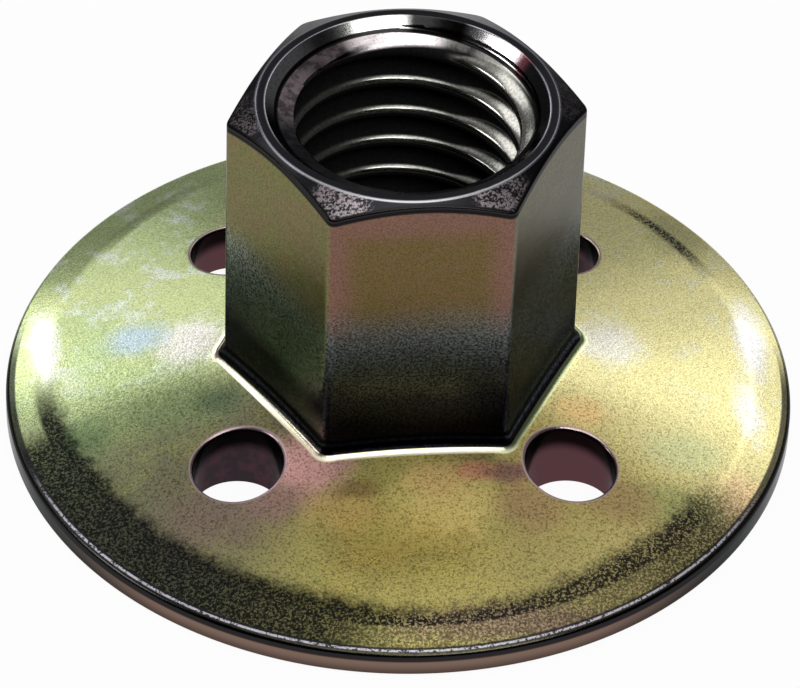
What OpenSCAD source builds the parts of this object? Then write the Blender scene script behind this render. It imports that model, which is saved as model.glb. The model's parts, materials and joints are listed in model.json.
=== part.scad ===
// Sanding pad lock nut.
// One forged steel piece: a tapped hexagon boss standing on a wide coned flange
// with a flat underside and four through holes for the pins of a spanner.
// The flat underside lies on z = 0, the bore runs up the Z axis, and two
// corners of the hexagon lie on the X axis.

/* [Flange] */
// Diameter over the rim of the flange
flange_d = 48; // [46:0.5:60]
// Height of the rim's upper edge above the flat underside
rim_h = 1.55; // [1.1:0.05:1.9]
// Diameter of the crease between the cone and the outer band
crease_d = 43.2; // [41:0.2:44.4]
// Height of the crease above the underside
crease_h = 2.35; // [2.1:0.05:3]
// Slope of the cone inside the crease, in degrees
cone_angle = 12; // [6:0.5:15]
// Rounding of the rim's upper edge
rim_top_r = 0.35; // [0.1:0.05:0.5]
// Rounding of the rim's lower edge
rim_bottom_r = 0.25; // [0.1:0.05:0.4]

/* [Hexagon boss] */
// Size across the flats
hex_af = 18.7; // [17.5:0.1:20]
// Height of the nut over all
nut_h = 23.6; // [16:0.05:30]
// Rounding of the six upright corners
hex_corner_r = 0.7; // [0.3:0.05:1.2]
// Diameter of the round face that the top chamfer leaves
face_d = 17.9; // [17.6:0.05:20]
// Angle of the top chamfer below the face, in degrees
chamfer_angle = 30; // [20:1:40]
// Radius of the fillet at the foot of the flats
fillet_r = 1.05; // [0.6:0.05:1.6]
// Width of the fine step where the fillet runs out on a flat
runout = 0.03; // [0.03:0.01:0.05]

/* [Bore] */
// Major diameter of the thread, 5/8 inch
thread_d = 15.875; // [14:0.005:16]
// Pitch of the thread, eleven turns to the inch
thread_pitch = 2.309; // [1.5:0.001:2.5]
// Diameter of the countersink at both ends of the bore
sink_d = 16.85; // [16.2:0.05:17.4]
// Angle between the countersink and the axis, in degrees
sink_angle = 45; // [30:1:60]
// Diameter where the countersink meets the thread's shallow lead-in
lead_d = 15.5; // [14.4:0.1:16]
// Slope of the lead-in, in degrees from the end face
lead_angle = 20; // [10:1:30]

/* [Spanner holes] */
// Number of holes for the spanner's pins
pin_count = 4; // [2:1:4]
// Diameter of each hole
pin_hole_d = 5.4; // [3:0.1:6]
// Diameter of the circle through the centres of the holes
pin_circle_d = 28.1; // [27.9:0.1:34]
// Turn of the first hole from a corner of the hexagon, in degrees
pin_turn = 41; // [30:0.5:50]

/* [Hidden] */

SIDES = 6;
STEEL = [0.62, 0.57, 0.33];
$fn = 96;
past = 1;        // overrun of a cut beyond a face
proud = 0.002;   // how far a round stands out, so that it crosses its flat cleanly
lap = 0.1;       // lap of two runs of the ball that hollows the fillet

// Flange section: heights of the cone and of the outer band at a radius
rim_r = flange_d / 2;
crease_r = crease_d / 2;
band_angle = atan((crease_h - rim_h) / (rim_r - crease_r));
function cone_z(r) = crease_h + (crease_r - r) * tan(cone_angle);
function band_z(r) = crease_h + (crease_r - r) * tan(band_angle);

// Hexagon: a corner's rounding is centred corner_at out from the axis
side_turn = 360 / SIDES;
half_turn = side_turn / 2;
flat_r = hex_af / 2;
corner_at = (flat_r - hex_corner_r) / cos(half_turn);
half_side = corner_at * sin(half_turn);

// Path of the ball that hollows the fillet: it is highest midway along a flat,
// where the cone is highest, and lowest past a corner
ball_out = fillet_r + runout;
ball_lift = fillet_r / cos(cone_angle) - runout;
ball_turn_r = hex_corner_r + ball_out;
ball_flat_r = flat_r + ball_out;
ball_corner_r = corner_at + ball_turn_r;
ball_flat_z = cone_z(ball_flat_r) + ball_lift;
ball_corner_z = cone_z(ball_corner_r) + ball_lift;

// Skirt that the ball hollows: it ends where the ball meets the cone
skirt_out = fillet_r * (1 - sin(cone_angle)) + runout;
skirt_h = (ball_flat_z + ball_corner_z) / 2;

// Bore at the crests of a unified thread, 1.0825 pitches inside the major size
bore_d = thread_d - 1.0825 * thread_pitch;

// Point on a line parallel to a flat: out from the axis, and along from its middle
function on_flat(i, out, along) =
    let (a = side_turn * i + half_turn)
    [out * cos(a) - along * sin(a), out * sin(a) + along * cos(a)];

// Outline of the hexagon with round corners, two of them on X, grown by more
module hexagon(more = 0) {
    polygon([
        for (i = [0 : SIDES - 1])
            for (along = [-half_side, half_side])
                on_flat(i, flat_r + more, along)
    ]);
    for (i = [0 : SIDES - 1])
        translate(corner_at * [cos(side_turn * i), sin(side_turn * i)])
            circle(r = hex_corner_r + more + proud);
}

// Half section of the flange, with both edges of the rim rounded
module flange_section() {
    top_x = rim_r - rim_top_r;
    top_z = band_z(top_x) - rim_top_r / cos(band_angle) + proud;
    bottom_x = rim_r - rim_bottom_r;
    tangent = rim_top_r * [sin(band_angle), cos(band_angle)];
    polygon([
        [0, 0],
        [bottom_x, 0],
        [rim_r, rim_bottom_r],
        [rim_r, top_z],
        [top_x, top_z] + tangent - [0, proud],
        [crease_r, crease_h],
        [0, cone_z(0)]
    ]);
    translate([top_x, top_z])
        circle(r = rim_top_r);
    translate([bottom_x, rim_bottom_r])
        circle(r = rim_bottom_r);
}

module flange() {
    rotate_extrude()
        flange_section();
}

// Hexagon prism whose top corners are cut back by a cone round the end face
module boss() {
    face_r = face_d / 2;
    outer_r = 2 * flat_r;
    intersection() {
        linear_extrude(nut_h)
            hexagon();
        rotate_extrude()
            polygon([
                [0, 0],
                [outer_r, 0],
                [outer_r, nut_h - (outer_r - face_r) * tan(chamfer_angle)],
                [face_r, nut_h],
                [0, nut_h]
            ]);
    }
}

// Straight run of the ball between two points of its path
module ball_run(from, to) {
    way = to - from;
    level = norm([way.x, way.y]);
    translate(from)
        rotate([0, atan2(level, way.z), atan2(way.y, way.x)])
            translate([0, 0, -lap])
                cylinder(r = fillet_r, h = norm(way) + 2 * lap);
}

// What the ball sweeps as it rolls round the boss in the angle above the cone:
// a short run past each corner, and two runs along each flat
module ball_sweep() {
    bend = [ball_corner_r, ball_turn_r * tan(half_turn / 2), ball_corner_z];
    middle = concat(on_flat(0, ball_flat_r, 0), ball_flat_z);
    for (i = [0 : SIDES - 1])
        rotate(side_turn * i) {
            ball_run([bend.x, -bend.y, bend.z], bend);
            for (side = [0, 1])
                mirror([0, side, 0])
                    ball_run(bend, middle);
        }
}

// Fillet that follows the flats down to the cone
module foot_fillet() {
    difference() {
        linear_extrude(skirt_h)
            hexagon(skirt_out);
        ball_sweep();
    }
}

// Countersink that opens downwards at z = 0, with the shallow lead-in above it
module countersink() {
    mouth_r = sink_d / 2;
    lead_r = lead_d / 2;
    lead_z = (mouth_r - lead_r) / tan(sink_angle);
    rotate_extrude()
        polygon([
            [0, -past],
            [mouth_r + past * tan(sink_angle), -past],
            [lead_r, lead_z],
            [0, lead_z + lead_r * tan(lead_angle)]
        ]);
}

module bore() {
    translate([0, 0, -past])
        cylinder(d = bore_d, h = nut_h + 2 * past);
    countersink();
    translate([0, 0, nut_h])
        mirror([0, 0, 1])
            countersink();
}

module spanner_holes() {
    for (i = [0 : pin_count - 1])
        rotate(pin_turn + i * 360 / pin_count)
            translate([pin_circle_d / 2, 0, -past])
                cylinder(d = pin_hole_d, h = nut_h);
}

module lock_nut() {
    color(STEEL)
        difference() {
            union() {
                flange();
                boss();
                foot_fillet();
            }
            bore();
            spanner_holes();
        }
}

lock_nut();
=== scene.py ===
"""Sanding pad lock nut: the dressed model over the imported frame.

One mesh stands for the CAD node lock_nut. It repeats the solid's section from
the same sizes and adds what the solid leaves out: the thread, the small
roundings of the edges, and the true turn of the fillet round the corners.
Lengths below are millimetres until the mesh is made.
"""

import json
import math

import bmesh
import bpy
import numpy as np
from mathutils import Matrix, Vector


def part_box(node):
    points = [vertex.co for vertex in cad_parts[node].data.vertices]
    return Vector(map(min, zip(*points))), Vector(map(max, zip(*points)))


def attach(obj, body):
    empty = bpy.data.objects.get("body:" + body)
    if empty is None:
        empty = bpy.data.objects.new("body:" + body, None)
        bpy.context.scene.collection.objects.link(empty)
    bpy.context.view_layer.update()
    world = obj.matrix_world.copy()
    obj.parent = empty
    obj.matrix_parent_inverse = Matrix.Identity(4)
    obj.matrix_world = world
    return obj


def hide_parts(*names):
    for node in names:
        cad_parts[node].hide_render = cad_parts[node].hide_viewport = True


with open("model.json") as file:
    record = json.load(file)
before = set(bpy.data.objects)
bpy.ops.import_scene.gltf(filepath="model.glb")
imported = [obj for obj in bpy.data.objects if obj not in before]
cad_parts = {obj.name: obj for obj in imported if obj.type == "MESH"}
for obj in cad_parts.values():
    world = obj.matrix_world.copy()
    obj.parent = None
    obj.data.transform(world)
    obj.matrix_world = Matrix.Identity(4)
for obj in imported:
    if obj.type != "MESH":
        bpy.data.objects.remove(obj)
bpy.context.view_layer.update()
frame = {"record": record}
mount_sizes = {mount["name"]: mount["dims"] for mount in frame["record"]["mounts"]}

# ------------------------------------------------------------ sizes of the solid
BORE_R = mount_sizes["spindle_thread"]["r_mm"]
HOLE_R = mount_sizes["spanner_holes"]["hole_r_mm"]
HOLE_AT = mount_sizes["spanner_holes"]["pcd_mm"] / 2
HOLE_COUNT = 4
HOLE_TURN = math.radians(41)  # of the first hole, from a corner of the hexagon
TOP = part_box("lock_nut")[1].z * 1000

RIM_R = 24.0
RIM_H = 1.55
CREASE_R, CREASE_H = 21.6, 2.35
CONE_ANGLE = math.radians(12)
CONE = math.tan(CONE_ANGLE)
BAND = (CREASE_H - RIM_H) / (RIM_R - CREASE_R)  # slope of the outer band
BAND_ANGLE = math.atan(BAND)
RIM_TOP_R, RIM_BOTTOM_R = 0.35, 0.25

SIDES = 6
SIDE_TURN = 2 * math.pi / SIDES
HALF_TURN = SIDE_TURN / 2
FLAT_R = 9.35
CORNER_R = 0.7
CORNER_AT = (FLAT_R - CORNER_R) / math.cos(HALF_TURN)
FACE_HALF = 5.4  # half width of one face of the hexagon
FACE_R = 8.95
CHAMFER_ANGLE = math.radians(30)
CHAMFER = math.tan(CHAMFER_ANGLE)
FILLET_R = 1.05

MOUTH_R = 8.425  # where a countersink meets its end face
LEAD_R = 7.75  # where it meets the shallow lead-in
LEAD = math.tan(math.radians(20))
LEAD_DEPTH = MOUTH_R - LEAD_R
WALL_DEPTH = LEAD_DEPTH + (LEAD_R - BORE_R) * LEAD  # where the bore's wall starts
THREAD_R = 15.875 / 2
PITCH = 2.309
CREST_Z = 22.00 - PITCH * 83.1 / 360  # middle of a crest at azimuth 0

# ------------------------------------------- sizes that only the dressed mesh has
MOUTH_EDGE = 0.1  # roundings of the countersinks' mouths
FACE_EDGE = 0.25  # between the end face and the chamfer
CHAMFER_EDGE = 0.16  # between the chamfer and the flats
HOLE_EDGE, HOLE_EDGE_BELOW = 0.22, 0.18
CREASE_SOFT = 0.3  # half width of the crease's bend
CREST_SOFT = 0.2  # how softly a crest turns into its flanks
PATCH_R = 17.7  # outer side of the four-sided patches round the spanner holes
PATCH_HALF = math.radians(14.2)
PATCH_ROWS = 20

YAW = math.radians(6.9)  # turn of the part as the camera sees it


def cone_z(r):
    return CREASE_H + (CREASE_R - r) * CONE


def band_z(r):
    return CREASE_H + (CREASE_R - r) * BAND


def hexagon_r(turn, out):
    """Radius of the hexagon's outline, grown by out, at each azimuth."""
    off = np.abs((turn + HALF_TURN) % SIDE_TURN - HALF_TURN)
    round_r = CORNER_R + out
    limit = np.arctan2(
        round_r * math.sin(HALF_TURN), CORNER_AT + round_r * math.cos(HALF_TURN)
    )
    reach = np.maximum(round_r**2 - (CORNER_AT * np.sin(off)) ** 2, 0)
    corner = CORNER_AT * np.cos(off) + np.sqrt(reach)
    flat = (FLAT_R + out) / np.cos(HALF_TURN - off)
    return np.where(off < limit, corner, flat)


# ------------------------------------------------------- columns round the axis
def column_turns():
    """Azimuths of the mesh's columns, closest together at the six corners."""
    corner = 1.892  # half the angle that a corner's rounding takes, in degrees
    turns = [corner * i / 3 for i in range(-3, 4)]
    # along a flat they are a little closer together beside the corners
    for t in np.linspace(0, 1, 45)[1:-1]:
        eased = 0.82 * t + 0.09 * (1 - math.cos(math.pi * t))
        turns.append(corner + (60 - 2 * corner) * eased)
    everywhere = {round((60 * k + a) % 360, 6) for k in range(SIDES) for a in turns}
    return np.radians(sorted(everywhere))


TURN = column_turns()
N = len(TURN)


# ------------------------------------------------------------------- the thread
def thread_r(turn, z):
    """Radius of the threaded wall: 30 degree flanks, soft crest, root P/8 wide."""
    middle = CREST_Z + PITCH * np.degrees(turn) / 360
    away = np.abs((z - middle + PITCH / 2) % PITCH - PITCH / 2)
    flank = (away - PITCH / 8) / math.tan(math.radians(30))
    soft = (flank + np.sqrt(flank**2 + CREST_SOFT**2)) / 2
    return np.minimum(BORE_R + soft, THREAD_R)


def sink_depth(r):
    """Depth of a countersink's surface below its end face."""
    return np.where(r > LEAD_R, MOUTH_R - r, LEAD_DEPTH + (LEAD_R - r) * LEAD)


def first_meeting(top):
    """Radius and height at which each column's thread runs into a countersink."""
    radii = np.linspace(BORE_R, THREAD_R, 1500)
    z = TOP - sink_depth(radii) if top else sink_depth(radii)
    wall = thread_r(TURN[:, None], z[None, :])
    i = np.argmax(wall <= radii[None, :] + 1e-9, axis=1)
    return radii[i], z[i]


TOP_R, TOP_Z = first_meeting(True)
LOW_R, LOW_Z = first_meeting(False)

# ------------------------------------------------------------------ the section
rows = []  # (radius, height) over all the columns, from the top of the wall outwards


def row(r, z):
    """Add a row and give its number."""
    rows.append((np.broadcast_to(r, N).astype(float), np.broadcast_to(z, N).astype(float)))
    return len(rows) - 1


def rounding(cx, cz, radius, normals):
    """Rows round an edge, at angles of the outward normal above the horizon."""
    for degrees in normals:
        a = math.radians(degrees)
        row(cx + radius * math.cos(a), cz + radius * math.sin(a))


def end_face_rows():
    """The top countersink, from the wall outwards, and the end face."""
    for r in (6.72, 6.85, 7.0, 7.2, 7.4, 7.6, LEAD_R - 0.05, LEAD_R + 0.03, 7.9, 8.05, 8.2, 8.35):
        rim = np.maximum(r, TOP_R)
        row(rim, TOP - sink_depth(rim))
    mouth_at = MOUTH_R + MOUTH_EDGE * math.tan(math.radians(22.5))
    rounding(mouth_at, TOP - MOUTH_EDGE, MOUTH_EDGE, (135, 120, 105, 90))
    row(8.62, TOP)
    face_at = FACE_R - FACE_EDGE * math.tan(CHAMFER_ANGLE / 2)
    rounding(face_at, TOP - FACE_EDGE, FACE_EDGE, (90, 80, 70, 60))


def boss_rows():
    """The chamfer, its rounded edge, the flats and the fillet, down to the cone."""
    start_r, start_z = rows[-1]
    edge = hexagon_r(TURN, 0)
    # the chamfer is cut short of its edge, which is rounded on to the flat
    cut = CHAMFER_EDGE * math.tan(CHAMFER_ANGLE)
    end_r = np.maximum(edge - cut * math.cos(CHAMFER_ANGLE), start_r + 0.004)
    end_z = TOP - (end_r - FACE_R) * CHAMFER
    for t in (0.2, 0.4, 0.6, 0.8, 1.0):
        row(start_r + (end_r - start_r) * t, start_z + (end_z - start_z) * t)
    for degrees in (45, 30, 15, 0):
        a = math.radians(degrees)
        out = (math.cos(a) - 0.5) / 0.5
        down = 1.5 * cut * (1 - math.sin(a) / math.sin(math.radians(60)))
        row(end_r + (edge - end_r) * out, end_z - down)
    flat_z = rows[-1][1]
    ball_z = cone_z(hexagon_r(TURN, FILLET_R)) + FILLET_R / math.cos(CONE_ANGLE)
    for t in (0.08, 0.25, 0.45, 0.65, 0.82, 0.95):
        row(edge, flat_z + (ball_z - flat_z) * t)
    fillet_turns = np.radians(np.linspace(0, 78, 10))
    for a in fillet_turns[:-1]:
        r = hexagon_r(TURN, FILLET_R * (1 - math.cos(a)))
        row(r, ball_z - FILLET_R * math.sin(a))
    r = hexagon_r(TURN, FILLET_R * (1 - math.cos(fillet_turns[-1])))
    return row(r, cone_z(r))


def cone_rows():
    """The cone from the fillet's toe to the outer side of the patches."""
    toe_r = rows[TOE][0]
    for t in np.linspace(0, 1, PATCH_ROWS + 1)[1:]:
        r = toe_r + (PATCH_R - toe_r) * t
        row(r, cone_z(r))
    return len(rows) - 1


def rim_rows():
    """The rest of the cone, the soft crease, the outer band and the rim."""
    for r in (18.6, 19.6, 20.5, 21.2):
        row(r, cone_z(r))
    for t in np.linspace(-CREASE_SOFT, CREASE_SOFT, 5):
        lift = (CREASE_SOFT - abs(t)) ** 2 * (CONE - BAND) / (4 * CREASE_SOFT)
        r = CREASE_R + t
        row(r, (cone_z(r) if t < 0 else band_z(r)) + lift)
    for r in (22.4, 23.1):
        row(r, band_z(r))
    top_x = RIM_R - RIM_TOP_R
    top_z = band_z(top_x) - RIM_TOP_R / math.cos(BAND_ANGLE)
    rounding(top_x, top_z, RIM_TOP_R, np.linspace(90 - math.degrees(BAND_ANGLE), 0, 7))
    row(RIM_R, 0.7)
    rounding(RIM_R - RIM_BOTTOM_R, RIM_BOTTOM_R, RIM_BOTTOM_R, np.linspace(0, -90, 6))


def underside_rows():
    """The flat underside inwards to below the fillet's toe."""
    row(22.5, 0)
    row(20.2, 0)
    outer = row(PATCH_R, 0)
    toe_r = rows[TOE][0]
    for t in np.linspace(1, 0, PATCH_ROWS + 1)[1:]:
        row(toe_r + (PATCH_R - toe_r) * t, 0)
    return outer, len(rows) - 1


def low_end_rows():
    """The rest of the underside and the lower countersink, in to the wall."""
    row((9.2 + rows[TOE][0]) / 2 - 0.2, 0)
    row(8.9, 0)
    mouth_at = MOUTH_R + MOUTH_EDGE * math.tan(math.radians(22.5))
    rounding(mouth_at, MOUTH_EDGE, MOUTH_EDGE, (270, 255, 240, 225))
    for r in (8.35, 8.1, 7.9, LEAD_R + 0.03, LEAD_R - 0.05, 7.4, 7.0, 6.72):
        rim = np.maximum(r, LOW_R)
        row(rim, sink_depth(rim))


end_face_rows()
TOE = boss_rows()
PATCH_OUT = cone_rows()
rim_rows()
UNDER_OUT, UNDER_TOE = underside_rows()
low_end_rows()


# ---------------------------------------------------------------- corners and faces
class Net:
    """Corners and faces of the mesh, in the order in which they are added."""

    def __init__(self):
        self.points = []
        self.faces = []

    def add(self, points):
        """Add points and give their numbers."""
        start = len(self.points)
        self.points.extend(points)
        return list(range(start, len(self.points)))

    def stitch(self, a, b):
        """Join two closed loops that have as many corners."""
        for i in range(len(a)):
            j = (i + 1) % len(a)
            self.faces.append((a[i], b[i], b[j], a[j]))


def turn_from(i, turn):
    """How far column i lies from an azimuth, between -pi and pi."""
    return (TURN[i] - turn + math.pi) % (2 * math.pi) - math.pi


def patch_columns(turn):
    near = [i for i in range(N) if abs(turn_from(i, turn)) < PATCH_HALF]
    return sorted(near, key=lambda i: turn_from(i, turn))


def add_shell(net, patches):
    """All the rows' surface, left open where a patch goes round each hole."""
    for r, z in rows:
        net.add(np.stack([r * np.cos(TURN), r * np.sin(TURN), z], -1).tolist())
    in_patch = {i for near in patches for i in near[:-1]}
    for k in range(len(rows) - 1):
        open_row = TOE <= k < PATCH_OUT or UNDER_OUT <= k < UNDER_TOE
        for i in range(N):
            if open_row and i in in_patch:
                continue
            j = (i + 1) % N
            net.faces.append((k * N + i, (k + 1) * N + i, (k + 1) * N + j, k * N + j))


def patch_border(near, inner, outer):
    """Corners round a patch: inner row, last column, outer row, first column."""
    step = 1 if outer > inner else -1
    border = [inner * N + i for i in near]
    border += [k * N + near[-1] for k in range(inner + step, outer, step)]
    border += [outer * N + i for i in reversed(near)]
    border += [k * N + near[0] for k in range(outer - step, inner, -step)]
    return border


def hole_loops(net, centre, border, upper):
    """Loops from a patch's border in to the hole and round its edge."""
    surface = cone_z if upper else (lambda r: r * 0)
    edge = HOLE_EDGE if upper else HOLE_EDGE_BELOW
    base = np.array([net.points[n][:2] for n in border])
    away = base - centre
    away /= np.linalg.norm(away, axis=1)[:, None]
    circle = centre + away * (HOLE_R + edge)
    flat = [(base + (circle - base) * t, 0.0) for t in (0.2, 0.4, 0.6, 0.8, 1.0)]
    bend = []
    for a in np.radians((22.5, 45, 67.5, 90)):
        out = edge * (1 - math.sin(a))
        bend.append((centre + away * (HOLE_R + out), edge * (1 - math.cos(a))))
    loops = [border]
    for place, drop in flat + bend:
        z = surface(np.hypot(place[:, 0], place[:, 1]))
        z = z - drop if upper else z + drop
        loops.append(net.add([(x, y, h) for (x, y), h in zip(place, z)]))
    return loops


def add_hole(net, turn, near):
    """A spanner hole: its patches above and below, both edges and the wall."""
    centre = HOLE_AT * np.array([math.cos(turn), math.sin(turn)])
    above = hole_loops(net, centre, patch_border(near, TOE, PATCH_OUT), True)
    below = hole_loops(net, centre, patch_border(near, UNDER_TOE, UNDER_OUT), False)
    for a, b in zip(above, above[1:]):
        net.stitch(b, a)
    for a, b in zip(below, below[1:]):
        net.stitch(a, b)
    high = np.array([net.points[n] for n in above[-1]])
    low = np.array([net.points[n] for n in below[-1]])
    last = above[-1]
    for t in (0.33, 0.67):
        ring = net.add([tuple(p) for p in high + (low - high) * t])
        net.stitch(ring, last)
        last = ring
    net.stitch(below[-1], last)


def helix_levels():
    """Heights at azimuth 0 of the rows that climb with the thread."""
    rise = [0.24, 0.36, 0.5, 0.7, 0.9, 1.02]  # above the middle of a crest
    steps = [-0.36, -0.24, 0.0] + rise + [PITCH / 2]
    steps += [PITCH - h for h in rise[:1:-1]]
    turns = range(-10, 2)
    return np.array([CREST_Z + PITCH * n + step for n in turns for step in steps]), len(steps)


def add_thread(net):
    """The threaded wall between the two countersinks."""
    levels, per_turn = helix_levels()
    size = len(levels)
    start = len(net.points)
    for i in range(N):
        climbed = levels + PITCH * math.degrees(TURN[i]) / 360
        z = np.clip(climbed, LOW_Z[i], TOP_Z[i])
        r = thread_r(TURN[i], z)
        r = np.where(climbed > TOP_Z[i], TOP_R[i], r)
        r = np.where(climbed < LOW_Z[i], LOW_R[i], r)
        net.add(list(zip(r * math.cos(TURN[i]), r * math.sin(TURN[i]), z)))

    def corner(i, k):
        """Column i and row k, where a full turn brings each row one pitch up."""
        if i == N:
            return start + k + per_turn
        return start + i * size + k

    last = size - 1 - per_turn
    for i in range(N):
        for k in range(last):
            net.faces.append((corner(i, k), corner(i, k + 1), corner(i + 1, k + 1), corner(i + 1, k)))
    # the wall's ends meet the first and the last row of the section
    low = (len(rows) - 1) * N
    for i in range(N):
        j = (i + 1) % N
        net.faces.append((corner(i, last), i, j, corner(i + 1, last)))
        net.faces.append((low + i, corner(i, 0), corner(i + 1, 0), low + j))


def weld(mesh):
    """Join what coincides, drop what has no size, and turn all faces outwards."""
    bm = bmesh.new()
    bm.from_mesh(mesh)
    bmesh.ops.remove_doubles(bm, verts=bm.verts, dist=2e-7)
    bmesh.ops.dissolve_degenerate(bm, edges=bm.edges, dist=1e-8)
    loose = [v for v in bm.verts if not v.link_faces]
    bmesh.ops.delete(bm, geom=loose, context="VERTS")
    bmesh.ops.recalc_face_normals(bm, faces=bm.faces)
    bmesh.ops.triangulate(bm, faces=[f for f in bm.faces if len(f.verts) > 4])
    bm.to_mesh(mesh)
    bm.free()
    mesh.update()


def shade_by_area(mesh):
    """Smooth shading whose normals are weighed by area, so that flats stay flat."""
    mesh.shade_smooth()
    normals = np.zeros((len(mesh.vertices), 3))
    for face in mesh.polygons:
        weighed = np.array(face.normal) * face.area
        for v in face.vertices:
            normals[v] += weighed
    normals /= np.maximum(np.linalg.norm(normals, axis=1), 1e-30)[:, None]
    mesh.normals_split_custom_set_from_vertices(normals.tolist())


def nut_mesh():
    net = Net()
    hole_turns = [HOLE_TURN + 2 * math.pi * i / HOLE_COUNT for i in range(HOLE_COUNT)]
    patches = [patch_columns(turn) for turn in hole_turns]
    add_shell(net, patches)
    for turn, near in zip(hole_turns, patches):
        add_hole(net, turn, near)
    add_thread(net)
    mesh = bpy.data.meshes.new("plated_nut")
    mesh.from_pydata((np.array(net.points) / 1000).tolist(), [], net.faces)
    weld(mesh)
    shade_by_area(mesh)
    return mesh


nut = bpy.data.objects.new("plated_nut", nut_mesh())
bpy.context.scene.collection.objects.link(nut)
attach(nut, "root")
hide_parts("lock_nut")


# ------------------------------------------------------------------ node graphs
class Graph:
    """Small helper that writes node trees as expressions."""

    def __init__(self, tree):
        self.tree = tree
        tree.nodes.clear()

    def node(self, kind, **settings):
        made = self.tree.nodes.new(kind)
        for name, value in settings.items():
            setattr(made, name, value)
        return made

    def put(self, socket, value):
        if isinstance(value, bpy.types.NodeSocket):
            self.tree.links.new(value, socket)
        else:
            socket.default_value = value

    def math(self, operation, a, b=0.0):
        n = self.node("ShaderNodeMath", operation=operation)
        self.put(n.inputs[0], a)
        self.put(n.inputs[1], b)
        return n.outputs[0]

    def add(self, a, b):
        return self.math("ADD", a, b)

    def less(self, a, b):
        return self.math("SUBTRACT", a, b)

    def mul(self, a, b):
        return self.math("MULTIPLY", a, b)

    def most(self, a, b):
        return self.math("MAXIMUM", a, b)

    def least(self, a, b):
        return self.math("MINIMUM", a, b)

    def absolute(self, a):
        return self.math("ABSOLUTE", a)

    def length(self, a, b):
        return self.math("SQRT", self.add(self.mul(a, a), self.mul(b, b)))

    def swing(self, noise, size):
        """A noise about nought, over so wide a range."""
        return self.mul(self.add(noise, -0.5), size)

    def step(self, x, lo, hi, to_lo=0.0, to_hi=1.0):
        """Smooth step of x from lo to hi."""
        n = self.node("ShaderNodeMapRange", interpolation_type="SMOOTHSTEP")
        for k, value in enumerate((x, lo, hi, to_lo, to_hi)):
            self.put(n.inputs[k], value)
        return n.outputs[0]

    def between(self, x, start, full, fade, end):
        """One from full to fade, and nothing before start or beyond end."""
        return self.mul(self.step(x, start, full), self.step(x, end, fade))

    def noise(self, vector, scale, detail=2.0, rough=0.5, distort=0.0):
        n = self.node("ShaderNodeTexNoise")
        self.put(n.inputs["Vector"], vector)
        n.inputs["Scale"].default_value = scale
        n.inputs["Detail"].default_value = detail
        n.inputs["Roughness"].default_value = rough
        n.inputs["Distortion"].default_value = distort
        return n.outputs["Fac"]

    def mix(self, share, a, b):
        n = self.node("ShaderNodeMix", data_type="RGBA")
        self.put(n.inputs[0], share)
        self.put(n.inputs[6], (*a, 1.0) if isinstance(a, tuple) else a)
        self.put(n.inputs[7], (*b, 1.0) if isinstance(b, tuple) else b)
        return n.outputs[2]

    def scale(self, colour, factor):
        n = self.node("ShaderNodeVectorMath", operation="SCALE")
        self.put(n.inputs[0], colour)
        self.put(n.inputs[3], factor)
        return n.outputs[0]

    def product(self, a, b):
        n = self.node("ShaderNodeVectorMath", operation="MULTIPLY")
        self.put(n.inputs[0], a)
        self.put(n.inputs[1], b)
        return n.outputs[0]

    def turned(self, vector):
        """The vector with x to the right and y away, as the camera is turned."""
        n = self.node("ShaderNodeVectorRotate", rotation_type="Z_AXIS")
        self.put(n.inputs["Vector"], vector)
        n.inputs["Angle"].default_value = YAW
        return n.outputs[0]

    def split(self, vector):
        n = self.node("ShaderNodeSeparateXYZ")
        self.put(n.inputs[0], vector)
        return n.outputs[0], n.outputs[1], n.outputs[2]


def graph_of(owner):
    owner.use_nodes = True
    return Graph(owner.node_tree)


# --------------------------------------------- the steel: places on the part
steel = bpy.data.materials.new("chromated_steel")
g = graph_of(steel)
mm = g.scale(g.node("ShaderNodeTexCoord").outputs["Object"], 1000.0)
x, y, _ = g.split(mm)
to_right, to_back, z = g.split(g.turned(mm))
radius = g.length(to_right, to_back)
side = g.math("DIVIDE", to_right, radius)  # -1 on the left, 1 on the right
front = g.math("DIVIDE", g.mul(to_back, -1.0), radius)  # 1 in front, -1 behind
azimuth = g.math("ARCTAN2", y, x)
lift = g.add(z, g.add(g.mul(radius, CONE), -cone_z(0)))  # height above the cone
chamfer_lift = g.add(z, g.add(g.mul(radius, CHAMFER), -(TOP + FACE_R * CHAMFER)))

# noises, from the broadest clouds to the finest grain
broad = g.noise(mm, 0.10, 2.0, 0.5, 0.8)
medium = g.noise(mm, 0.38, 3.0, 0.6, 0.4)
blotch = g.noise(mm, 1.3, 3.0, 0.65)
grain = g.noise(mm, 6.0, 2.0, 0.6)
dust = g.noise(mm, 11.0, 1.0, 0.5)
speck = g.add(g.mul(grain, 0.7), g.mul(dust, 0.3))

near_boss = g.step(radius, 12.4, 12.2)  # the fillet ends just inside this
on_boss = g.mul(near_boss, g.step(lift, 0.08, 0.14))
on_toe = g.mul(g.mul(near_boss, g.step(lift, 0.13, 0.09)), g.step(lift, 0.002, 0.008))
on_rim = g.step(radius, RIM_R - 0.16, RIM_R - 0.06)
on_chamfer = g.mul(g.step(chamfer_lift, -0.16, -0.06), g.step(radius, FACE_R - 0.12, FACE_R))
on_bare = g.mul(g.step(radius, FACE_R + 0.02, FACE_R - 0.05), g.step(z, 0.5, 0.8))
in_thread = g.mul(
    g.step(radius, THREAD_R + 0.2, THREAD_R + 0.1),
    g.step(z, TOP - WALL_DEPTH - 0.02, TOP - WALL_DEPTH - 0.2),
)
in_thread = g.mul(in_thread, g.step(z, WALL_DEPTH - 0.2, WALL_DEPTH))


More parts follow.
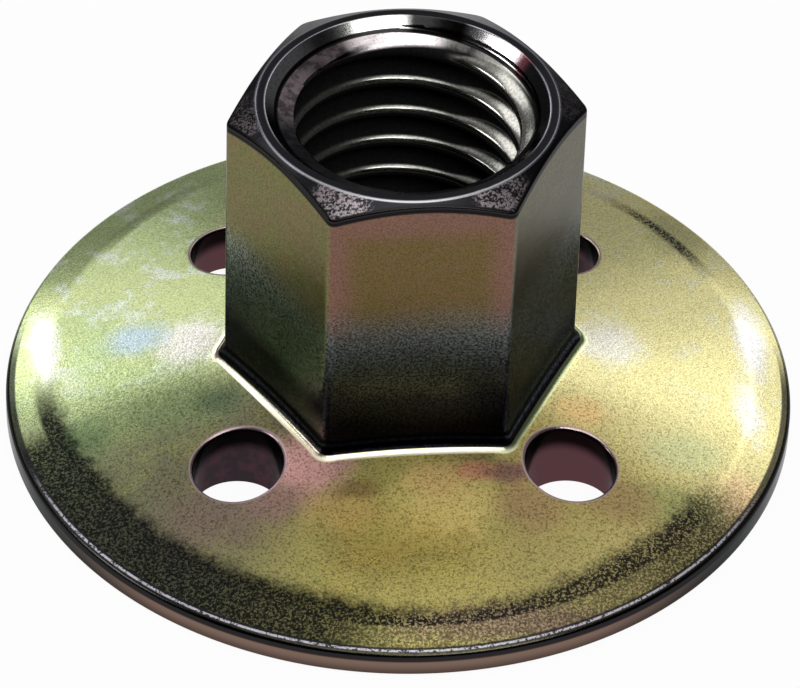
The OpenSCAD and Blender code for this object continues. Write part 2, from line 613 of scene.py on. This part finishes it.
def hole_distance():
    """Distance from the axis of the nearest spanner hole."""
    ahead, aside = math.cos(HOLE_TURN), math.sin(HOLE_TURN)
    along = g.absolute(g.add(g.mul(x, ahead), g.mul(y, aside)))
    across = g.absolute(g.add(g.mul(y, ahead), g.mul(x, -aside)))
    return g.length(g.add(g.most(along, across), -HOLE_AT), g.least(along, across))


def flat_distance():
    """Distance from the axis, square to the nearest flat of the hexagon."""
    slant = g.mul(x, math.cos(HALF_TURN))
    most = g.most(g.absolute(g.add(slant, g.mul(y, 0.5))), g.absolute(g.add(slant, g.mul(y, -0.5))))
    return g.most(most, g.absolute(y))


def facing(turn, inner, outer):
    """One within inner degrees of a direction round the axis, nothing beyond outer."""
    a = math.radians(turn)
    toward = g.add(g.mul(side, math.sin(a)), g.mul(front, math.cos(a)))
    return g.step(toward, math.cos(math.radians(outer)), math.cos(math.radians(inner)))


# ------------------------------------------------------- the steel: the flange
def flange_base():
    """Green on the left, yellow on the right, gold in front, pale clouds behind."""
    green, yellow, cloud = (0.52, 0.63, 0.31), (0.94, 0.86, 0.42), (0.80, 0.86, 0.80)
    gold_left, gold_middle = (0.23, 0.21, 0.13), (0.66, 0.57, 0.17)
    gold_right, gold_dull = (0.47, 0.39, 0.14), (0.42, 0.40, 0.13)
    colour = g.mix(g.add(g.step(to_right, -17.0, 9.0), g.swing(broad, 1.1)), green, yellow)
    clouds = g.step(g.add(medium, g.swing(blotch, 0.5)), 0.52, 0.68)
    where = g.mul(g.step(front, 0.35, -0.1, 0.0, 0.6), g.step(side, 0.2, 0.8, 1.0, 0.4))
    colour = g.mix(g.mul(clouds, where), colour, cloud)
    gold = g.mix(g.step(side, -0.60, -0.12), gold_left, gold_middle)
    gold = g.mix(g.step(side, 0.15, 0.5), gold, gold_right)
    gold = g.mix(g.mul(g.step(medium, 0.45, 0.65), 0.4), gold, gold_dull)
    in_front = g.mul(g.step(front, 0.10, 0.70), g.step(radius, 24.0, 16.0, 0.8, 1.0))
    return g.mix(in_front, colour, gold)


# tints of the plating, and near white patches that are painted highlights
TINTS_AND_HIGHLIGHTS = [  # place, half sizes, colour, strength
    # salmon, brown and amber below the foot, from the left to the right
    ((-6.6, -10.2), (3.6, 3.2), (1.0, 0.55, 0.50), 1.0),
    ((-8.8, -12.4), (2.6, 2.0), (0.38, 0.24, 0.20), 0.9),
    ((-4.6, -13.4), (3.0, 2.2), (0.80, 0.56, 0.20), 0.7),
    ((1.3, -13.4), (4.2, 3.6), (0.98, 0.80, 0.28), 1.0),
    ((1.2, -11.9), (3.0, 1.6), (1.0, 0.66, 0.26), 0.8),
    # dark green beside the foot on the left, and orange at its right corner
    ((-14.6, -3.6), (6.0, 2.6), (0.34, 0.43, 0.20), 0.8),
    ((-11.3, -4.0), (1.9, 1.6), (0.19, 0.25, 0.14), 0.9),
    ((3.6, -11.3), (1.8, 1.0), (0.90, 0.42, 0.24), 0.9),
    # cream, blue and near white on the left; the cream and the near white are painted highlights
    ((-12.6, 1.8), (2.8, 2.8), (0.98, 0.95, 0.88), 0.9),
    ((-16.0, 3.0), (2.8, 1.8), (0.56, 0.70, 0.82), 0.8),
    ((-21.4, 4.0), (1.1, 4.4), (0.96, 0.98, 0.90), 0.9),
    # near white on the right, which is painted highlight, and amber above the right hole
    ((12.8, -0.2), (3.0, 2.6), (0.98, 0.96, 0.86), 0.8),
    ((21.9, 1.6), (1.3, 4.6), (0.99, 0.98, 0.95), 1.0),
    ((20.9, -5.0), (1.2, 3.4), (0.99, 0.97, 0.90), 0.8),
    ((10.4, -6.4), (2.2, 1.6), (0.85, 0.56, 0.24), 0.7),
    # greens, olive and orange out on the front right
    ((16.4, -9.0), (3.4, 2.2), (0.56, 0.68, 0.38), 0.45),
    ((14.4, -13.2), (4.0, 2.0), (0.28, 0.33, 0.12), 0.7),
    ((19.6, -12.4), (2.0, 3.0), (0.90, 0.60, 0.36), 0.6),
    # small dark marks under the foot
    ((5.4, -11.4), (2.0, 1.2), (0.24, 0.12, 0.11), 0.9),
    ((-3.7, -12.2), (2.0, 1.0), (0.28, 0.17, 0.07), 0.7),
    # duller yellow behind on the right, and greens on the left
    ((18.6, 12.2), (2.6, 3.6), (0.52, 0.52, 0.26), 0.7),
    ((-18.6, 2.2), (1.8, 3.4), (0.52, 0.66, 0.33), 0.7),
    ((-19.6, -4.8), (2.2, 2.2), (0.22, 0.33, 0.15), 0.8),
    # browns round the front holes and along the front rim
    ((6.4, -13.8), (3.0, 2.4), (0.42, 0.28, 0.14), 0.8),
    ((12.0, -13.2), (3.2, 2.4), (0.38, 0.26, 0.12), 0.8),
    ((-12.6, -13.2), (4.6, 3.4), (0.30, 0.21, 0.18), 0.6),
    ((4.0, -22.0), (9.0, 1.5), (0.44, 0.26, 0.24), 0.6),
]


def tint_or_highlight(base, place, half_size, colour, strength):
    """A soft patch of another tint on the flange, or of painted highlight."""
    dx = g.mul(g.add(x, -place[0]), 1 / half_size[0])
    dy = g.mul(g.add(y, -place[1]), 1 / half_size[1])
    away = g.add(g.length(dx, dy), g.swing(blotch, 0.9))
    return g.mix(g.step(away, 1.1, 0.25, 0.0, strength), base, colour)


def rough_shaded_ring():
    """Where the flange is rough and painted dark as shade: along the crease and on the outer band."""
    front_left = g.mul(g.step(front, 0.10, 0.55), g.step(side, 0.12, -0.25))
    inner = g.add(21.1, g.mul(front_left, -0.8))
    inner = g.add(inner, g.mul(g.step(side, 0.25, 0.65), -0.5))
    inner = g.add(inner, g.swing(blotch, 1.6))
    crease = g.mul(g.step(g.less(radius, inner), -0.8, 0.6), g.step(radius, 22.5, 22.0))
    band = g.between(radius, 21.8, 22.1, RIM_R - 0.3, RIM_R - 0.1)
    left = g.step(side, 0.05, -0.20, 0.68, 1.0)
    right = g.step(side, 0.55, 0.75, 0.5, 0.88)
    band = g.mul(band, g.least(g.most(left, right), g.step(side, -0.985, -0.94)))
    in_front = g.step(g.add(front, g.mul(side, -0.18)), 0.20, 0.42)
    ring = g.mul(g.most(crease, band), in_front)
    behind = g.between(radius, 20.9, 21.4, 21.8, 22.3)
    behind = g.mul(behind, g.mul(g.step(front, -0.42, -0.60), g.step(front, -0.88, -0.70)))
    ring = g.most(ring, g.mul(behind, g.step(side, -0.2, 0.2, 0.5, 1.0)))
    # bright specks show through it, more of them on the right
    covered = g.step(side, -0.15, 0.1, 0.80, 0.50)
    return g.mul(ring, g.step(speck, 0.58, 0.50, covered, 0.98))


def flange_colour(ring):
    shade_left, shade_right = (0.012, 0.014, 0.014), (0.030, 0.026, 0.024)
    below_green, below_gold = (0.64, 0.66, 0.34), (0.82, 0.72, 0.36)
    colour = flange_base()
    for mark in TINTS_AND_HIGHLIGHTS:
        colour = tint_or_highlight(colour, *mark)
    # painted shade along the crease and on the outer band, darker on the left
    colour = g.mix(ring, colour, g.mix(g.step(side, -0.1, 0.3), shade_left, shade_right))
    tone = g.step(g.add(broad, g.swing(medium, 0.4)), 0.25, 0.75)
    below = g.mix(tone, below_green, below_gold)
    return g.mix(g.step(z, 0.6, 0.3), colour, below)


# --------------------------------------------------------- the steel: the boss
def by_face(left, middle, right):
    """One colour for the faces on each side, and one for the face in front."""
    soft = 0.1
    colour = g.mix(g.step(x, -FACE_HALF - soft, -FACE_HALF + soft), left, middle)
    return g.mix(g.step(x, FACE_HALF - soft, FACE_HALF + soft), colour, right)


def boss_colour():
    """Tinted above; painted shade below, darker towards the bottom and black in the fillet."""
    height = g.add(z, g.swing(medium, 2.0))
    # upper part: olive on the left, gold brown in front, grey on the right
    upper_left = g.mix(g.step(medium, 0.4, 0.6), (0.185, 0.180, 0.072), (0.205, 0.170, 0.080))
    upper_front = g.mix(g.step(blotch, 0.40, 0.66), (0.150, 0.108, 0.042), (0.165, 0.108, 0.052))
    edges = g.most(g.step(g.absolute(x), 3.4, 5.0), g.step(z, 20.4, 22.0))
    upper_front = g.mix(g.mul(edges, 0.8), upper_front, (0.215, 0.112, 0.090))
    upper_right = g.mix(g.step(z, 16.5, 21.0), (0.160, 0.155, 0.120), (0.175, 0.165, 0.118))
    # lower part: painted shade, darker towards the bottom
    shaded_left = g.mix(g.step(height, 9.6, 7.6), (0.195, 0.225, 0.190), (0.048, 0.052, 0.050))
    shaded_front = g.mix(g.step(height, 10.2, 8.4), (0.130, 0.145, 0.145), (0.048, 0.054, 0.085))
    shaded_front = g.scale(shaded_front, g.step(z, 6.0, 9.6, 0.2, 1.0))
    shaded_right = g.mix(g.step(height, 8.2, 6.4), (0.25, 0.28, 0.29), (0.10, 0.11, 0.14))
    shaded_right = g.mix(g.step(front, -0.2, -0.1), shaded_front, shaded_right)
    upper_faces = by_face(upper_left, upper_front, upper_right)
    shaded_faces = by_face(shaded_left, shaded_front, shaded_right)
    shaded_faces = g.scale(shaded_faces, g.step(speck, 0.40, 0.60, 0.55, 1.5))
    colour = g.mix(g.step(height, 12.4, 16.4), shaded_faces, upper_faces)
    # painted shade: the fillet darkened, down to a quarter at its foot
    return g.scale(colour, g.step(lift, 1.0, 0.75, 1.0, 0.25))


def grained(colour):
    """Fine dark grain over the plating, strongest on the front of the flange."""
    pits = g.mix(g.step(front, -0.1, 0.6), (0.78, 0.78, 0.78), (0.56, 0.54, 0.50))
    pits = g.mix(on_boss, pits, (0.78, 0.76, 0.76))
    colour = g.mix(g.step(grain, 0.36, 0.50), g.product(colour, pits), colour)
    return g.scale(colour, g.step(dust, 0.3, 0.7, 0.80, 1.15))


def toe_highlight(colour):
    """A painted highlight: the bright line at the fillet's toe, duller on the right."""
    cream, dull = (1.0, 0.93, 0.70), (0.60, 0.68, 0.38)
    return g.mix(on_toe, colour, g.mix(g.step(side, 0.45, 0.7), cream, dull))


# ----------------------------------------- the steel: the rim and the holes
def rim_colour(colour):
    """Brown wall, with painted shade black at both sides and towards its top and bottom, and a
    painted highlight along the lip above, broken into specks.
    """
    left, middle, right = (0.022, 0.028, 0.026), (0.180, 0.118, 0.094), (0.022, 0.026, 0.026)
    wall = g.mix(g.step(side, -0.9, -0.5), left, middle)
    wall = g.mix(g.step(side, 0.45, 0.85), wall, right)
    wall = g.scale(wall, g.step(z, 0.1, 0.95, 0.45, 1.1))
    wall = g.scale(wall, g.step(z, 1.15, 1.0, 0.15, 1.0))
    colour = g.mix(on_rim, colour, wall)
    # painted shade: a black line on the rim's top, in front
    dark = g.mul(g.step(radius, RIM_R - 0.62, RIM_R - 0.5), g.step(z, 1.15, 1.25))
    dark = g.mul(dark, g.step(front, -0.25, 0.0))
    colour = g.mix(g.mul(dark, 0.9), colour, (0.02, 0.02, 0.024))
    # painted highlight along the lip, broken into dark and pale specks
    lip_highlight = g.between(radius, RIM_R - 0.44, RIM_R - 0.38, RIM_R - 0.30, RIM_R - 0.24)
    lip_highlight = g.mul(g.mul(lip_highlight, g.step(z, 1.3, 1.36)), g.step(front, 0.35, 0.6))
    lip_specks = g.step(g.add(g.mul(grain, 0.6), g.mul(blotch, 0.4)), 0.43, 0.51)
    return g.mix(g.mul(lip_highlight, 0.9), colour, g.mix(lip_specks, (0.06, 0.06, 0.07), (0.62, 0.60, 0.66)))


def hole_colour(colour):
    """Painted shade: dark reddish walls, black below the upper edge, which is a pale line of painted
    highlight.
    """
    away = hole_distance()
    # painted shade: dark walls, blackest just below the upper edge
    wall = g.mix(g.step(blotch, 0.4, 0.6), (0.030, 0.022, 0.026), (0.050, 0.026, 0.033))
    redder = g.step(g.mul(to_right, to_back), 50.0, -50.0)  # in front right and back left
    wall = g.mix(redder, wall, (0.090, 0.040, 0.046))
    wall = g.scale(wall, g.step(lift, -0.9, -1.9, 0.06, 1.0))
    colour = g.mix(g.step(away, HOLE_R + 0.12, HOLE_R + 0.02), colour, wall)
    # painted highlight: a pale line round the upper edge
    edge = g.between(away, HOLE_R + 0.02, HOLE_R + 0.1, HOLE_R + 0.2, HOLE_R + 0.3)
    return g.mix(g.mul(edge, 0.8), colour, (0.45, 0.32, 0.36))


# ------------------------- the steel: the end face, countersinks and thread
def lead_in_colour():
    """Painted reflection on the lead-in: dark, black in front, and bright behind and on the right."""
    left, right, near = (0.062, 0.050, 0.053), (0.10, 0.098, 0.095), (0.013, 0.013, 0.015)
    colour = g.mix(g.step(side, -0.2, 0.1), left, right)
    colour = g.mix(g.step(front, -0.1, 0.3), colour, near)
    colour = g.scale(colour, g.step(blotch, 0.38, 0.60, 0.55, 1.5))
    # painted highlights: bright patches behind and behind on the right
    colour = g.mix(facing(-173, 12, 27), colour, (0.92, 0.84, 0.86))
    return g.mix(facing(121, 14, 30), colour, (0.98, 0.97, 0.88))


def countersink_colour():
    """Painted reflection on the countersink: pale on the left, dark elsewhere, bright in two patches,
    with red beside the right one.
    """
    left, right, near = (0.45, 0.44, 0.46), (0.05, 0.05, 0.05), (0.05, 0.05, 0.055)
    colour = g.mix(g.step(side, -0.3, 0.0), left, right)
    colour = g.mix(g.step(front, -0.1, 0.3), colour, near)
    colour = g.mix(facing(127, 1, 8), colour, (0.36, 0.12, 0.15))
    colour = g.mix(facing(-163, 11, 19), colour, (0.88, 0.87, 0.83))
    return g.mix(facing(141, 10, 17), colour, (1.0, 0.97, 0.99))


def crest_glint():
    """Painted highlight where the thread's crests shine, more broadly on the right."""
    turns = g.add(g.mul(g.add(z, -CREST_Z), 1 / PITCH), g.mul(azimuth, -1 / (2 * math.pi)))
    phase = g.math("FRACT", g.add(turns, 0.5))
    upper = g.step(side, 0.35, 0.75, 0.64, 0.78)
    glint = g.mul(g.step(phase, 0.52, 0.58), g.step(g.less(phase, upper), 0.07, -0.01))
    glint = g.mul(glint, g.step(side, -0.7, 0.0, 0.12, 1.0))
    glint = g.mul(glint, g.most(g.step(z, 21.8, 21.6), g.step(side, 0.3, 0.6)))
    return g.mul(glint, g.step(g.absolute(g.add(z, -TOP / 2)), 0.5, 1.5))


def bare_colour(glint):
    colour = g.mix(
        g.step(radius, LEAD_R - 0.02, LEAD_R - 0.08), countersink_colour(), lead_in_colour()
    )
    colour = g.scale(colour, g.step(grain, 0.30, 0.50, 0.7, 1.0))
    # painted shade: a black line where the countersink meets the lead-in
    foot = g.between(radius, LEAD_R - 0.16, LEAD_R - 0.04, LEAD_R + 0.06, LEAD_R + 0.2)
    colour = g.scale(colour, g.step(foot, 0.2, 0.8, 1.0, 0.04))
    # painted shade: the thread black between the painted highlights of its crests
    thread = g.mix(glint, (0.013, 0.013, 0.013), (0.58, 0.57, 0.52))
    thread = g.scale(thread, g.step(grain, 0.35, 0.60, 0.75, 1.1))
    colour = g.mix(in_thread, colour, thread)
    # painted shade: the end face dark
    face = g.between(radius, MOUTH_R, MOUTH_R + 0.08, FACE_R - 0.1, FACE_R)
    colour = g.mix(face, colour, (0.055, 0.055, 0.065))
    # painted highlight: a pale line round both sides of the mouth
    mouth = g.between(radius, MOUTH_R - 0.08, MOUTH_R - 0.03, MOUTH_R + 0.06, MOUTH_R + 0.10)
    mouth = g.mul(mouth, g.most(facing(-92, 14, 40), facing(88, 10, 34)))
    return g.mix(mouth, colour, (0.50, 0.49, 0.55))


def chamfer_colour(colour):
    """Black as painted shade, with painted highlights: specks on its corners and a pale line round
    the end face.
    """
    black = (0.028, 0.028, 0.032)
    corners = g.step(g.math("COSINE", g.mul(azimuth, 6.0)), 0.2, 0.7)
    corner_glints = g.mul(corners, g.step(g.add(grain, g.mul(blotch, 0.5)), 0.66, 0.84))
    corner_glints = g.mul(corner_glints, g.step(front, -0.15, 0.5, 0.12, 1.0))
    cone = g.mix(corner_glints, black, (0.44, 0.375, 0.395))
    line = g.between(radius, FACE_R - 0.07, FACE_R, FACE_R + 0.08, FACE_R + 0.15)
    cone = g.mix(line, cone, g.mix(facing(3, 35, 60), (0.20, 0.20, 0.23), (0.50, 0.49, 0.51)))
    # painted shade: a black line along the edge of the flats
    border = g.step(flat_distance(), FLAT_R - 0.26, FLAT_R - 0.12)
    cone = g.mix(border, cone, (0.02, 0.02, 0.02))
    colour = g.mix(on_chamfer, colour, cone)
    # painted shade: a black band on the flats just below the chamfer
    below = g.between(chamfer_lift, -0.50, -0.34, -0.15, -0.05)
    below = g.mul(below, g.step(radius, FLAT_R - 0.1, FLAT_R - 0.05))
    return g.mix(below, colour, (0.012, 0.012, 0.014))


# ------------------------------------------------- the steel: gloss and grain
def roughness(ring, glint):
    rough = g.add(0.19, g.swing(medium, 0.10))
    rough = g.add(rough, g.mul(on_boss, 0.04))
    rough = g.add(rough, g.mul(on_bare, -0.04))
    rough = g.add(rough, g.mul(ring, 0.25))
    return g.add(rough, g.mul(in_thread, g.step(glint, 0.6, 0.1, 0.0, 0.3)))


def metalness(glint):
    """Less in front of the boss, where the film scatters light; none in the roots."""
    film = g.mul(g.step(front, 0.45, 0.85), g.step(radius, 19.0, 15.0))
    film = g.mul(film, g.mul(g.step(lift, 0.06, 0.01), g.step(lift, -0.3, -0.1)))
    black = g.mul(in_thread, g.step(glint, 0.3, 0.02))
    return g.add(1.0, g.add(g.mul(film, -0.5), g.mul(black, -1.0)))


def grain_bump(ring):
    """Heights in metres: a grain of 5 thousandths of a millimetre on soft waves."""
    height = g.mul(g.add(g.mul(dust, 0.5), grain), 0.0000050)
    height = g.mul(height, g.add(1.0, g.mul(on_bare, -0.8)))
    height = g.mul(height, g.add(1.0, ring))
    bump = g.node("ShaderNodeBump")
    bump.inputs["Strength"].default_value = 1.0
    bump.inputs["Distance"].default_value = 1.0
    g.put(bump.inputs["Height"], g.add(height, g.mul(medium, 0.000012)))
    return bump.outputs[0]


def dress_steel():
    ring = rough_shaded_ring()
    glint = crest_glint()
    colour = g.mix(on_boss, flange_colour(ring), boss_colour())
    colour = toe_highlight(grained(colour))
    colour = hole_colour(rim_colour(colour))
    colour = g.mix(on_bare, colour, bare_colour(glint))
    shader = g.node("ShaderNodeBsdfPrincipled")
    g.put(shader.inputs["Base Color"], chamfer_colour(colour))
    g.put(shader.inputs["Metallic"], metalness(glint))
    g.put(shader.inputs["Roughness"], roughness(ring, glint))
    g.put(shader.inputs["Normal"], grain_bump(ring))
    shader.inputs["Specular IOR Level"].default_value = 0.0
    shader.inputs["Specular Tint"].default_value = (0.6, 0.6, 0.6, 1.0)
    g.put(g.node("ShaderNodeOutputMaterial").inputs["Surface"], shader.outputs[0])


dress_steel()
nut.data.materials.append(steel)

# -------------------------------------------------------------------- the floor
FLOOR_HALF = 6.0  # metres


def pale_floor():
    """White to the eye and in reflections, and a plain pale grey to the light."""
    material = bpy.data.materials.new("pale_floor")
    f = graph_of(material)
    path = f.node("ShaderNodeLightPath")
    seen = f.most(path.outputs["Is Camera Ray"], path.outputs["Is Glossy Ray"])
    seen = f.most(seen, path.outputs["Is Transmission Ray"])
    plain = f.node("ShaderNodeBsdfDiffuse")
    plain.inputs["Color"].default_value = (0.9, 0.9, 0.9, 1)
    glow = f.node("ShaderNodeEmission")
    glow.inputs["Color"].default_value = (1, 1, 1, 1)
    glow.inputs["Strength"].default_value = 1.0
    both = f.node("ShaderNodeMixShader")
    f.put(both.inputs[0], f.mul(seen, 0.95))
    f.put(both.inputs[1], plain.outputs[0])
    f.put(both.inputs[2], glow.outputs[0])
    # from below the floor is clear, so that the underside can be looked at
    sided = f.node("ShaderNodeMixShader")
    f.put(sided.inputs[0], f.node("ShaderNodeNewGeometry").outputs["Backfacing"])
    f.put(sided.inputs[1], both.outputs[0])
    f.put(sided.inputs[2], f.node("ShaderNodeBsdfTransparent").outputs[0])
    f.put(f.node("ShaderNodeOutputMaterial").inputs["Surface"], sided.outputs[0])
    return material


def floor_mesh():
    h = FLOOR_HALF
    mesh = bpy.data.meshes.new("floor")
    mesh.from_pydata([(-h, -h, 0), (h, -h, 0), (h, h, 0), (-h, h, 0)], [], [(0, 1, 2, 3)])
    mesh.materials.append(pale_floor())
    return mesh


floor = bpy.data.objects.new("floor", floor_mesh())
bpy.context.scene.collection.objects.link(floor)

# -------------------------------------------------------------------- the light
LAMP_AT = 0.9  # metres from the nut
TO_PART = Matrix.Rotation(-YAW, 3, "Z")  # from the camera's turn to the part's own

LAMPS = [  # name, direction, width and height in degrees as the nut sees it, level
    ("box_right", (0.30, 0.700, 0.645), 27, 22, 0.36),
    ("box_right_edge", (0.40, 0.770, 0.50), 9, 24, 0.9),
    ("box_right_near", (0.47, 0.60, 0.645), 11, 18, 0.9),
    ("box_right_low", (0.34, 0.865, 0.38), 10, 12, 0.5),
    ("box_left", (-0.27, 0.784, 0.559), 22, 14, 0.30),
    ("box_left_edge", (-0.44, 0.745, 0.50), 9, 22, 2.0),
    ("box_left_low", (-0.29, 0.840, 0.460), 12, 14, 0.7),
    ("box_top", (0.0, -0.05, 1.0), 26, 22, 0.8),
    ("box_front", (0.29, -0.60, 0.74), 32, 12, 5.0),
    ("box_side", (-0.835, -0.118, 0.537), 22, 16, 5.0),
    ("box_side_high", (-0.60, 0.38, 0.70), 24, 20, 1.6),
    ("box_near", (0.10, -0.42, 0.90), 44, 24, 1.1),
]


def softbox(name, toward, wide, high, level):
    """A four-sided lamp that faces the nut."""
    direction = (TO_PART @ Vector(toward)).normalized()
    data = bpy.data.lights.new(name, "AREA")
    data.shape = "RECTANGLE"
    data.size = 2 * LAMP_AT * math.tan(math.radians(wide / 2))
    data.size_y = 2 * LAMP_AT * math.tan(math.radians(high / 2))
    data.energy = level * math.pi * data.size * data.size_y
    lamp = bpy.data.objects.new(name, data)
    lamp.location = direction * LAMP_AT
    lamp.rotation_mode = "QUATERNION"
    lamp.rotation_quaternion = direction.to_track_quat("Z", "Y")
    bpy.context.scene.collection.objects.link(lamp)


def studio_world():
    """Dim walls round the lamps: darker in front than behind, with a panel above."""
    world = bpy.data.worlds.new("studio")
    w = graph_of(world)
    direction = w.turned(w.node("ShaderNodeTexCoord").outputs["Generated"])
    rightward, backward, upward = w.split(direction)
    behind = w.most(
        w.step(upward, 0.42, 0.60, 0.32, 0.18), w.step(upward, 0.62, 0.88, 0.0, 1.0)
    )
    before = w.step(upward, 0.80, 0.97, 0.008, 1.0)
    back_half = w.step(backward, -0.15, 0.10)
    level = w.add(before, w.mul(back_half, w.less(behind, before)))
    level = w.mul(level, w.step(w.absolute(rightward), 0.30, 0.55, 1.0, 0.3))
    # the front of the flange mirrors this panel
    away = w.node("ShaderNodeVectorMath", operation="DISTANCE")
    w.put(away.inputs[0], direction)
    away.inputs[1].default_value = (-0.08, 0.42, 0.90)
    panel = w.step(away.outputs["Value"], 0.42, 0.20)
    level = w.add(level, w.mul(panel, w.less(0.62, level)))
    sky = w.node("ShaderNodeBackground")
    w.put(sky.inputs["Color"], level)
    sky.inputs["Strength"].default_value = 1.0
    w.put(w.node("ShaderNodeOutputWorld").inputs["Surface"], sky.outputs[0])
    return world


for lamp_sizes in LAMPS:
    softbox(*lamp_sizes)
bpy.context.scene.world = studio_world()

# ------------------------------------------------------------------- the camera
ELEVATION, ROLL = math.radians(41.68), math.radians(1.87)
DISTANCE = 0.380  # metres from the origin
PICTURE_WIDTH = 800.0  # pixels, like the focal length and the aim
FOCAL = 6191.0
AIM_RIGHT, AIM_UP = 2.0, 58.6  # of the origin, which lies left of and below the middle
SENSOR_WIDTH = 36.0


def aimed_camera():
    ce, se = math.cos(ELEVATION), math.sin(ELEVATION)
    cr, sr = math.cos(ROLL), math.sin(ROLL)
    level_right, forward, level_up = Vector((1, 0, 0)), Vector((0, ce, -se)), Vector((0, se, ce))
    rolled_right = cr * level_right + sr * level_up
    rolled_up = -sr * level_right + cr * level_up
    aim = forward + (AIM_RIGHT / FOCAL) * rolled_right + (AIM_UP / FOCAL) * rolled_up
    aim.normalize()
    right = aim.cross(rolled_up).normalized()
    turn = Matrix((right, right.cross(aim), -aim)).transposed()
    data = bpy.data.cameras.new("camera")
    data.sensor_width = SENSOR_WIDTH
    data.lens = FOCAL * SENSOR_WIDTH / PICTURE_WIDTH
    data.clip_start, data.clip_end = 0.01, 50.0
    camera = bpy.data.objects.new("camera", data)
    place = TO_PART @ (-forward * DISTANCE)
    camera.matrix_world = Matrix.LocRotScale(place, (TO_PART @ turn).to_quaternion(), None)
    bpy.context.scene.collection.objects.link(camera)
    return camera


bpy.context.scene.camera = aimed_camera()
bpy.context.scene.view_settings.view_transform = "Standard"
